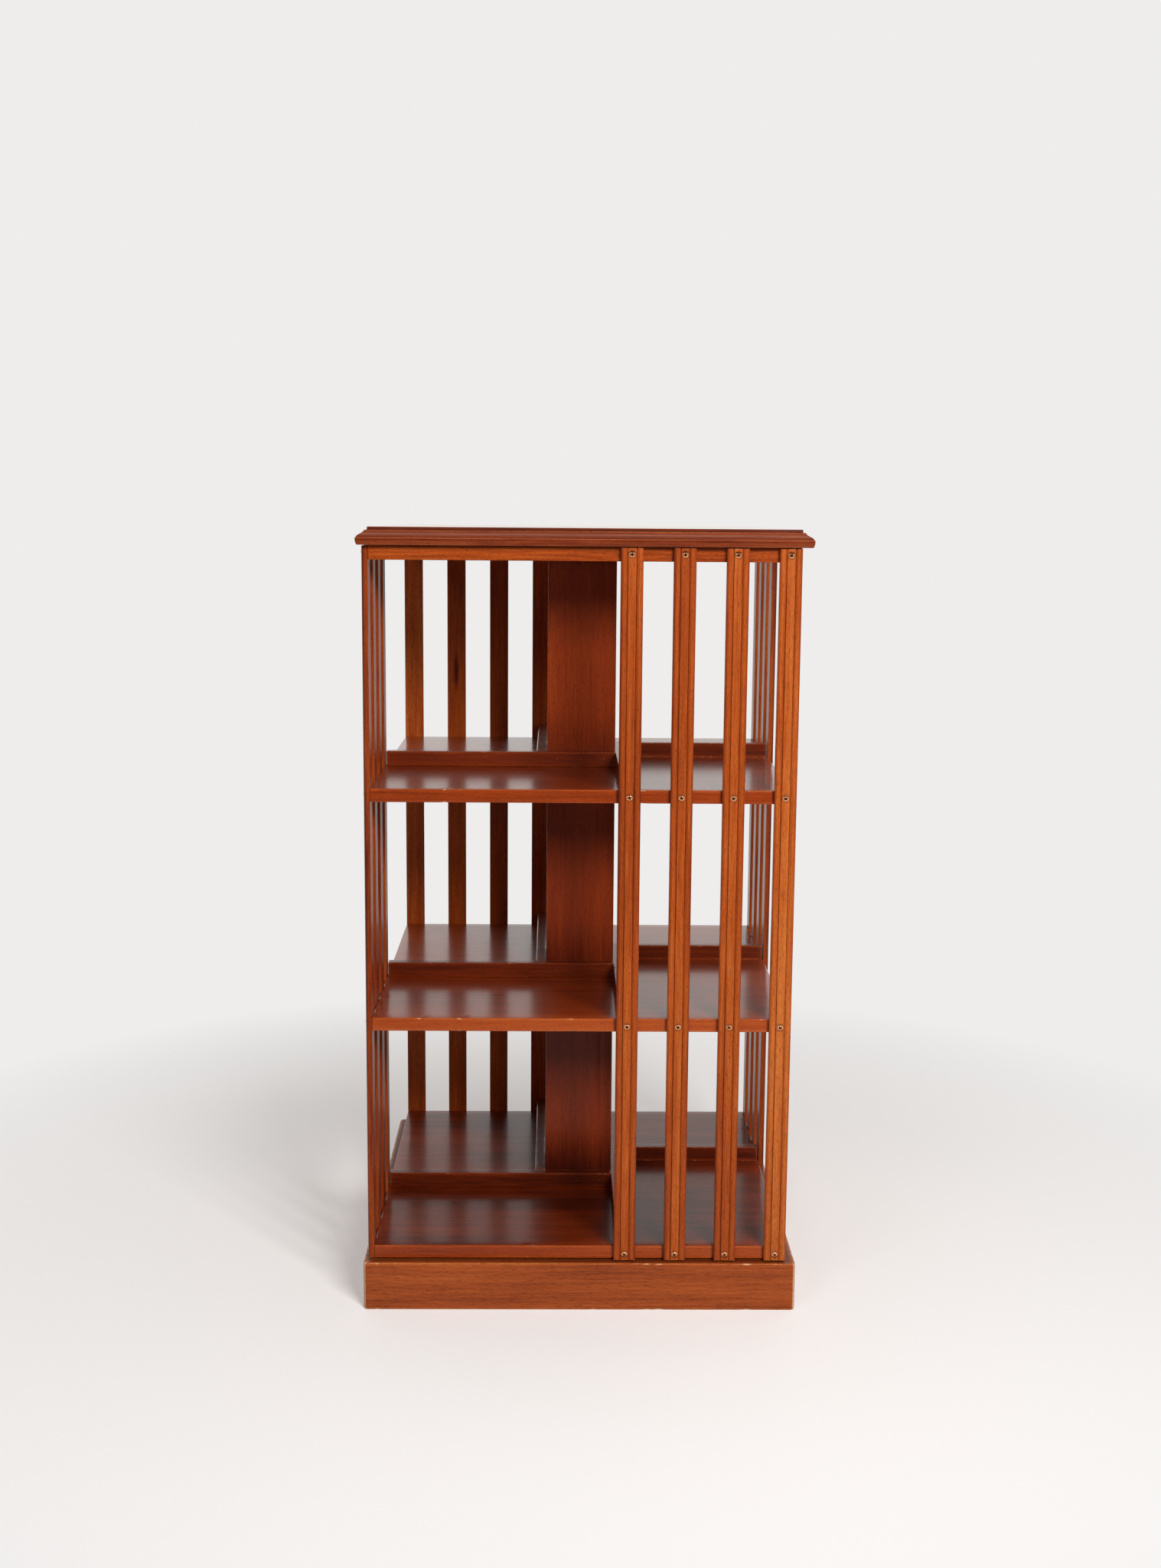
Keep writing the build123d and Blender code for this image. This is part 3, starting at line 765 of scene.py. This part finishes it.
def shelfChips(rings, half, board):
    # each edge has its own stretch of numbers: front x, right y + 1, back x + 2, left y + 3
    form = shelfForm
    x, y = rings[..., 0], rings[..., 1]
    loose = np.where(np.abs(x) > np.abs(y), np.where(x > 0, y + 1, y + 3), np.where(y < 0, x, x + 2))
    spots = [(place, dice.uniform(*form["frontSpread"]), 1.0) for place in board["frontChips"]]
    for stretch in (1, 2, 3):
        spots += [(dice.uniform(-half, half) + stretch, dice.uniform(*form["chipSpread"]),
                   dice.uniform(*form["chipStrength"])) for _ in range(form["chips"])]
    return chipField(loose, spots)


def innerShade(rings, faceLevel):
    # painted shade: 1 on the top at the stop of each compartment, falling to 0 at innerReach
    stopFace = -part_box("stop_lower_front")[0].y
    inner = np.zeros(rings.shape[:2])
    for side in range(len(sideNames)):
        x, y, z = np.moveaxis(turnPlan(rings, -side), -1, 0)
        inside = (-y > stopFace) & (x < stopFace) & (z > faceLevel)
        inner = np.where(inside, fade(-y - stopFace, shelfForm["innerReach"]), inner)
    return inner


def buildShelf(name):
    form, board = shelfForm, shelfForm["boards"][name]
    low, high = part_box(name)
    half, ease = high.x, form["ease"]
    rings = shelfRings(low, high, board["bore"])
    arris, highlight = (nearArris(rings, np.array(low), np.array(high), form[reach])
                   for reach in ("wearReach", "highlightReach"))
    chips = shelfChips(rings, half, board) * arris ** form["chipPower"]
    worn = rings.copy()
    worn[..., 2] -= np.sign(rings[..., 2] - (low.z + high.z) / 2) * chips * form["chipDepth"]
    points, faces = skinRings(roundCorners(worn, half, form["cornerRadius"]), looped=True)
    # painted shade on the top towards the stops
    face = board["faceTone"] + form["innerShadeTone"] * innerShade(rings, high.z - ease)
    onEdge = np.abs(rings[..., :2]).max(axis=-1) > half - ease / 2
    # painted highlight along the arrises
    tone = np.where(onEdge, board["edgeTone"], face) + form["arrisHighlight"] * highlight
    wear = np.maximum(arris * form["wear"], chips * form["chipWear"])
    values = surfaceMaps(grainFrom(rings, [0, 1, 2]), wear, 0.0, tone)
    addPiece(f"polished_{name}", points, faces, board["finish"], values, "case", [name])


railForm = {
    "fieldShares": (0.05, 0.3, 0.6, 0.9), "wear": 0.62,
    "dirtAndShade": 0.2, "shadowReach": 5 * mm, "shadowBand": 2 * mm, "slot": "carcass_wood",
}


def buildSubTop():
    # over the top, down the edge, in below to the pivot plate's pocket and up into it
    form = railForm
    low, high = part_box("sub_top")
    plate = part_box("pivot_plate")[1]
    half = high.x
    edge = edgeProfile(half, low.z, high.z)
    field = np.array(form["fieldShares"]) * half
    level = np.ones(len(field))
    halves = np.concatenate([field, edge[:, 0], field[:0:-1], [plate.x, plate.x, field[0]]])
    heights = np.concatenate([high.z * level, edge[:, 1], low.z * level, [plate.z, plate.z]])
    rings = squareRings(halves, heights, np.zeros(len(halves)), shelfForm["perSide"])
    arris = nearArris(rings, np.array(low), np.array(high), shelfForm["wearReach"])
    onEdge = np.abs(rings[..., :2]).max(-1) > half - form["shadowBand"]
    # painted shadow along the rail's head under the overhang of the moulded top
    dirtAndShade = fade(high.z - rings[..., 2], form["shadowReach"]) * onEdge * form["dirtAndShade"]
    points, faces = skinRings(roundCorners(rings, half, shelfForm["cornerRadius"]))
    values = surfaceMaps(grainFrom(rings, [0, 2, 1]), arris * form["wear"], dirtAndShade, 0.0)
    addPiece("railed_sub_top", points, faces, "rail", values, "case", ["sub_top"])


topForm = {
    "fillet": 3.4 * mm, "filletStep": 2.8 * mm, "flatRun": 6 * mm,
    "filletTone": -0.25, "filletMargin": 0.2 * mm,
    "ogeeWidth": 8.2 * mm, "ogeeHeight": 8.0 * mm, "ogeePoints": 17, "ogeeBend": 0.75, "quirk": 1.1 * mm,
    "noseTuck": 1.8 * mm, "nosePoints": 9, "nosePower": 2.4,
    "arris": 0.55 * mm, "secondArris": 0.4, "cornerRadius": 1.2 * mm, "perSide": 120, "pathStep": 0.5 * mm,
    "fieldShares": (0.02, 0.3, 0.6, 0.85),
    # point of the moulding's path: painted highlight if positive and painted shade if negative, how worn,
    # how far round it
    "highlightsAndShade": {2: (-0.25, 0, 0.8 * mm), 3: (0.45, 0.62, 0.9 * mm), 11: (0.3, 0, 1.7 * mm),
               19: (-0.3, 0, 0.9 * mm), 20: (0.5, 0.66, 0.9 * mm), 22: (-0.2, 0, 1.0 * mm),
               28: (0.3, 0.5, 0.8 * mm)},
    "slot": "top_mahogany",
}


def cutCorners(path, cut):
    # each inner point becomes two, drawn back along its two runs by cut or a third of the run
    back, ahead = path[:-2] - path[1:-1], path[2:] - path[1:-1]
    reach = [np.linalg.norm(run, axis=1, keepdims=True) for run in (back, ahead)]
    first = path[1:-1] + back / reach[0] * np.minimum(cut, reach[0] / 3)
    second = path[1:-1] + ahead / reach[1] * np.minimum(cut, reach[1] / 3)
    return np.concatenate([path[:1], np.stack([first, second], axis=1).reshape(-1, 2), path[-1:]])


def mouldingPath(tip, thick):
    # half size and height, down the moulding: fillet, step, ogee, quirk, nose
    form = topForm
    stepDown, noseTop = thick - form["fillet"], thick - form["fillet"] - form["ogeeHeight"]
    ogeeEnd = tip - form["quirk"]
    ogeeStart = ogeeEnd - form["ogeeWidth"]
    flatEdge = ogeeStart - form["filletStep"]
    noseEnd = tip - form["noseTuck"]
    # ogee: the height falls evenly while x runs out less a sine of a whole turn, steep at both ends
    swing = np.linspace(0, 1, form["ogeePoints"])[1:-1]
    wave = np.sin(2 * math.pi * swing) / (2 * math.pi) * form["ogeeBend"]
    ogeeRun = ogeeStart + form["ogeeWidth"] * (swing - wave)
    ogee = np.stack([ogeeRun, stepDown - form["ogeeHeight"] * swing], -1)
    # nose: tucked in by a power of the way down
    down = np.linspace(0, 1, form["nosePoints"])[1:-1]
    nose = np.stack([tip - form["noseTuck"] * down ** form["nosePower"], noseTop * (1 - down)], -1)
    start = [(flatEdge - form["flatRun"], thick), (flatEdge, thick), (flatEdge, stepDown),
             (ogeeStart, stepDown)]
    middle = [(ogeeEnd, noseTop), (tip, noseTop)]
    return np.concatenate([start, ogee, middle, nose, [(noseEnd, 0), (noseEnd - form["flatRun"], 0)]])


def buildTop():
    form = topForm
    low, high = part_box("moulded_top")
    tip, thick = high.x, high.z - low.z
    drawn = mouldingPath(tip, thick)
    path = cutCorners(cutCorners(drawn, form["arris"]), form["arris"] * form["secondArris"])
    run = np.concatenate([[0], np.cumsum(np.linalg.norm(np.diff(path, axis=0), axis=1))])
    places = np.unique(np.round(np.concatenate([run, np.arange(0, run[-1], form["pathStep"])]), 7))
    path = np.stack([np.interp(places, run, path[:, 0]), np.interp(places, run, path[:, 1])], axis=-1)
    # painted highlights on the arrises and the ogee's crown, partly also real wear, and painted shade in the
    # hollows and a band on the nose: bell curves round the drawn points
    wear, tone = np.zeros(len(path)), np.zeros(len(path))
    for corner, (paler, worn, spread) in form["highlightsAndShade"].items():
        bell = np.exp(-(np.linalg.norm(path - drawn[corner], axis=1) / spread) ** 2)
        wear, tone = np.maximum(wear, worn * bell), tone + paler * bell
    onFillet = (path[:, 0] > drawn[1, 0] - form["filletMargin"]) & (path[:, 1] > drawn[2, 1])
    tone = tone + form["filletTone"] * onFillet
    field = np.array(form["fieldShares"]) * path[0, 0]
    level = np.ones(len(field))
    halves = np.concatenate([field, path[:, 0], field[::-1]])
    heights = low.z + np.concatenate([thick * level, path[:, 1], 0 * level])
    rings = squareRings(halves, heights, np.zeros(len(halves)), form["perSide"])
    wear, tone = (np.repeat(np.pad(part, len(field)), rings.shape[1]) for part in (wear, tone))
    points, faces = skinRings(roundCorners(rings, tip, form["cornerRadius"]))
    values = surfaceMaps(grainFrom(rings, [0, 1, 2]), wear, 0.0, tone)
    addPiece("polished_moulded_top", points, faces, "top", values, "case", ["moulded_top"])


for shelfName in shelfForm["boards"]:
    buildShelf(shelfName)
buildSubTop()
buildTop()
print("shelves, sub-top and moulded top")


screwForm = {
    "head": 3.5 * mm, "rise": 1.5 * mm, "domePoints": 17, "domePower": 2.2, "middle": 0.1 * mm,
    "under": 0.05 * mm, "underShare": 0.99, "shank": 1.75 * mm, "shankShare": 0.4, "length": 24 * mm,
    "point": 4 * mm, "slotHalf": 0.5 * mm, "slotReach": 1.8 * mm, "slotDepth": 1.1 * mm,
    "slotWall": (1.6, 1.3), "slotEnd": (1.12, 5), "rimEdge": (6, 5.2), "rimDark": 0.35,
    "around": 40, "sharp": 50,
}


def spun(radius, around):
    # x and y of circles of these radii
    angle = np.linspace(0, 2 * math.pi, around, endpoint=False)
    return radius[:, None] * np.cos(angle), radius[:, None] * np.sin(angle)


def screwSurface(turned):
    # dome, rise (1 - r^2.2), with a cross sunk in it, then the head's underside, the shank and its point
    form, head, shank, length = screwForm, screwForm["head"], screwForm["shank"], screwForm["length"]
    dome = np.linspace(form["middle"], head, form["domePoints"])
    radius = np.concatenate([dome, [head * form["underShare"], shank, shank, shank, form["middle"]]])
    level = np.concatenate([
        form["rise"] * (1 - (dome / head) ** form["domePower"]),
        [-form["under"], -form["under"], -length * form["shankShare"], form["point"] - length, -length]])
    x, y = spun(radius, form["around"])
    p, q = x * math.cos(turned) + y * math.sin(turned), y * math.cos(turned) - x * math.sin(turned)
    narrow = np.minimum(np.abs(p), np.abs(q)) / form["slotHalf"]
    far = np.hypot(p, q) / form["slotReach"]
    # the cross has sloping walls beside and at the ends of its arms
    wall, slope = form["slotWall"]
    end, endSlope = form["slotEnd"]
    sunk = np.clip(wall - narrow * slope, 0, 1) * np.clip((end - far) * endSlope, 0, 1)
    sunk[len(dome):] = 0
    z = level[:, None] - form["slotDepth"] * sunk
    # darker at the rim of the dome and in the cross
    rimSlope, rimFrom = form["rimEdge"]
    rim = np.clip(np.hypot(p, q) / head * rimSlope - rimFrom, 0, 1) * form["rimDark"]
    return np.stack([x, y, z], axis=-1), np.maximum(sunk, rim)


def standOn(rings, place, side):
    # a turned piece that points outwards from the front, carried round to its side
    x, y, z = np.moveaxis(rings, -1, 0)
    upright = np.stack([x, -z, y], axis=-1) + np.array(place)
    return turnPlan(upright, side)


def gather(name, batch, nodes):
    # many small brass pieces as one mesh
    points, faces, grime, start = [], [], [], 0
    for rings, dirtAndShade in batch:
        somePoints, someFaces = skinRings(rings)
        points.append(somePoints)
        faces += [[start + corner for corner in face] for face in someFaces]
        grime.append(dirtAndShade.ravel())
        start += len(somePoints)
    points, values = np.concatenate(points), {"grime": np.concatenate(grime)}
    addPiece(name, points, faces, "brass", values, "case", nodes, screwForm["sharp"])


def buildScrews():
    batch = []
    for number in range(slatsPerSide):
        low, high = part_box(f"slat_front_{number + 1}")
        for side in range(len(sideNames)):
            for height in screwHeights():
                rings, dirtAndShade = screwSurface(dice.uniform(0, math.pi / 2))
                batch.append((standOn(rings, ((low.x + high.x) / 2, low.y, height), side), dirtAndShade))
    gather("brass_slat_screws", batch, ["slat_screws"])


pinForm = {
    "radius": 0.75 * mm, "rise": 0.12 * mm, "domeShares": np.array([0.1, 0.4, 0.7, 0.9, 1.0]),
    "stem": 1.0 * mm,
    "places": (-29 * mm, -0.5 * mm, 27 * mm), "above": 9.5 * mm, "dirtAndShade": 0.6, "around": 14,
}


def buildPins():
    # low domes, rise (1 - r^2), with a short stem inside the stop
    form, shares = pinForm, pinForm["domeShares"]
    x, y = spun(np.append(shares, 1.0) * form["radius"], form["around"])
    level = np.append(form["rise"] * (1 - shares ** 2), -form["stem"])
    rings = np.stack([x, y, np.broadcast_to(level[:, None], x.shape)], axis=-1)
    dirtAndShade = np.full(x.shape, form["dirtAndShade"])
    batch = []
    for tier in tierNames:
        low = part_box(f"stop_{tier}_front")[0]
        for side in range(len(sideNames)):
            for across in form["places"]:
                batch.append((standOn(rings, (across, low.y, low.z + form["above"]), side), dirtAndShade))
    gather("stop_pins", batch, [])


buildScrews()
buildPins()
print("64 slat screws and 36 stop pins")

# CAD pieces that keep their own shape
keptFinishes = {
    "base_panel": "carcass", "plinth_corner_blocks": "carcass",
    "spindle": "steel", "pivot_plate": "steel", "guide_bushes": "plastic",
    "base_panel_screws": "zinc", "spindle_coach_screws": "zinc", "top_fixing_screws": "zinc",
}
for nodeName, finish in keptFinishes.items():
    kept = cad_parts[nodeName]
    kept.data.materials.clear()
    kept.data.materials.append(finishes[finish])
print("finishes on", len(keptFinishes), "inner pieces")


cameraForm = {
    "place": (-0.02894, -2.19229, 0.89996), "yaw": 0.0132, "pitch": 0.1488, "roll": 0.0077,
    "focalPixels": 2348.35, "imageHeight": 2048, "sensor": 36.0,
}


def placeCamera():
    form = cameraForm
    yaw, pitch, roll = form["yaw"], form["pitch"], form["roll"]
    ahead = Vector((math.sin(yaw), math.cos(yaw), 0))
    beside = Vector((math.cos(yaw), -math.sin(yaw), 0))
    forward = math.cos(pitch) * ahead - math.sin(pitch) * Vector((0, 0, 1))
    up = math.cos(pitch) * Vector((0, 0, 1)) + math.sin(pitch) * ahead
    right = math.cos(roll) * beside + math.sin(roll) * up
    up = math.cos(roll) * up - math.sin(roll) * beside
    data = bpy.data.cameras.new("camera")
    data.sensor_width = form["sensor"]
    data.lens = form["focalPixels"] / form["imageHeight"] * form["sensor"]
    camera = bpy.data.objects.new("camera", data)
    turn = Matrix((right, up, -forward)).transposed().to_4x4()
    camera.matrix_world = Matrix.Translation(form["place"]) @ turn
    scene.collection.objects.link(camera)
    scene.camera = camera


lampForm = {
    "aim": (0.0, 0.0, 0.5), "distance": 3.1, "glossNearer": 0.03,
    "key": {"azimuth": 22, "elevation": 25, "power": 86, "glossPower": 28, "size": (1.1, 0.75)},
    "fill": {"azimuth": -28, "elevation": 26, "power": 12, "glossPower": 6, "size": (0.9, 0.75)},
}


def addSoftbox(name):
    form = lampForm[name]
    azimuth, elevation = math.radians(form["azimuth"]), math.radians(form["elevation"])
    away = Vector((math.sin(azimuth) * math.cos(elevation), -math.cos(azimuth) * math.cos(elevation),
                   math.sin(elevation)))
    # one lamp lights the wood, and a weaker one just in front of it is what the polish mirrors
    parts = (("wood", form["power"], 0.0), ("gloss", form["glossPower"], lampForm["glossNearer"]))
    for part, power, nearer in parts:
        data = bpy.data.lights.new(f"{name}_{part}", "AREA")
        data.shape = "RECTANGLE"
        data.size, data.size_y = form["size"]
        data.energy = power
        lamp = bpy.data.objects.new(data.name, data)
        lamp.location = Vector(lampForm["aim"]) + away * (lampForm["distance"] - nearer)
        lamp.rotation_euler = away.to_track_quat("Z", "Y").to_euler()
        lamp.visible_diffuse = part == "wood"
        lamp.visible_glossy = part == "gloss"
        scene.collection.objects.link(lamp)


surroundForm = {
    "backdrop": (238, 237, 236), "warm": (241, 236, 232),
    "front": 0.3, "backStep": (-0.5, 0.4), "backLight": 0.8, "lightStep": (0.0, 0.8), "ambient": 0.035,
    "panelGlow": 1.2, "panelSide": (0.72, 0.86), "panelFoot": (-0.3, -0.1), "panelHead": (0.35, 0.55),
    "panelAhead": (0.0, 0.3),
}


def seenDirectly(bench):
    # 1 for rays that show the background: from the camera, off gloss and through clear pieces
    paths = [bench.node("ShaderNodeLightPath", out=key) for key in
             ("Is Camera Ray", "Is Glossy Ray", "Is Transmission Ray")]
    return (paths[0] + paths[1] + paths[2]).held(), paths[0]


def paintWorld():
    form = surroundForm
    world = bpy.data.worlds.new("studio")
    scene.world = world
    world.use_nodes = True
    world.node_tree.nodes.clear()
    bench = Wire(world.node_tree)
    seen, fromCamera = seenDirectly(bench)
    heading = bench.node("ShaderNodeTexCoord", out=0)
    sideways, towardsBack, upwards = (
        bench.node("ShaderNodeSeparateXYZ", {}, {0: heading}, out=axis) for axis in range(3))
    # gloss sees a bright backdrop behind, dimmer surroundings in front and a pale panel at each side
    back = towardsBack.step(*form["backStep"]) * (1 - form["front"]) + form["front"]
    panel = bench.maths("ABSOLUTE", sideways).step(*form["panelSide"]) * upwards.step(*form["panelFoot"])
    panel = panel * (1 - upwards.step(*form["panelHead"])) * (0 - towardsBack).step(*form["panelAhead"])
    inGloss = back + panel * form["panelGlow"]
    onWood = towardsBack.step(*form["lightStep"]) * (form["backLight"] - form["ambient"]) + form["ambient"]
    strength = fromCamera + (seen - fromCamera) * inGloss + (1 - seen) * onWood
    colour = fromCamera.blend(solid(form["warm"]), solid(form["backdrop"]))
    light = bench.node("ShaderNodeBackground", {}, {0: colour, 1: strength})
    bench.node("ShaderNodeOutputWorld", {}, {"Surface": light})


floorForm = {
    "reach": 12.0, "drop": 0.2 * mm, "pale": (236, 233, 231), "dull": (214, 209, 206), "cells": 420,
    "mottleShare": 0.25, "fade": (0.4, 1.15), "ahead": (0.5, 1.3), "glow": 0.36, "glossGlow": 0.3,
    "glossLost": 0.8, "bounceLost": 0.45,
}


def layFloor():
    form, reach = floorForm, floorForm["reach"]
    mesh = bpy.data.meshes.new("floor")
    corners = [(x * reach, y * reach, -form["drop"]) for x, y in ((-1, -1), (1, -1), (1, 1), (-1, 1))]
    mesh.from_pydata(corners, [], [(0, 1, 2, 3)])
    floor = bpy.data.objects.new("floor", mesh)
    scene.collection.objects.link(floor)
    material, bench = newMaterial("pale_floor")
    place = bench.node("ShaderNodeTexCoord", out=3)
    mottle = place.noise((form["cells"],) * 3, 3.0, 0.7) * form["mottleShare"]
    tint = mottle.blend(solid(form["pale"]), solid(form["dull"]))
    seen, fromCamera = seenDirectly(bench)
    fromMiddle = bench.node("ShaderNodeVectorMath", {"operation": "LENGTH"}, {0: place}, out=1)
    far = fromMiddle.step(*form["fade"])
    ahead = (0.0 - bench.node("ShaderNodeSeparateXYZ", {}, {0: place}, out=1)).step(*form["ahead"])
    offGloss = seen - fromCamera
    # the camera's floor runs out into the backdrop; gloss sees a darker floor in front,
    # and only part of its light comes back on to the case
    lost = fromCamera * far + offGloss * ahead * form["glossLost"] + (1.0 - seen) * form["bounceLost"]
    lost = lost.held()
    matte = bench.node("ShaderNodeBsdfDiffuse", {}, {"Color": lost.blend(tint, (0.0, 0.0, 0.0, 1.0))})
    tint = far.blend(tint, solid(surroundForm["backdrop"]))
    toCamera = far + (1.0 - far) * form["glow"]
    toGloss = (1.0 - ahead) * (form["glossGlow"] + far * (1 - form["glossGlow"]))
    strength = fromCamera * toCamera + offGloss * toGloss
    glow = bench.node("ShaderNodeEmission", {}, {"Color": tint, "Strength": strength})
    both = bench.node("ShaderNodeAddShader", {}, {0: matte, 1: glow})
    bench.node("ShaderNodeOutputMaterial", {}, {"Surface": both})
    mesh.materials.append(material)


placeCamera()
addSoftbox("key")
addSoftbox("fill")
paintWorld()
layFloor()
scene.view_settings.view_transform = "Standard"
print("studio set")
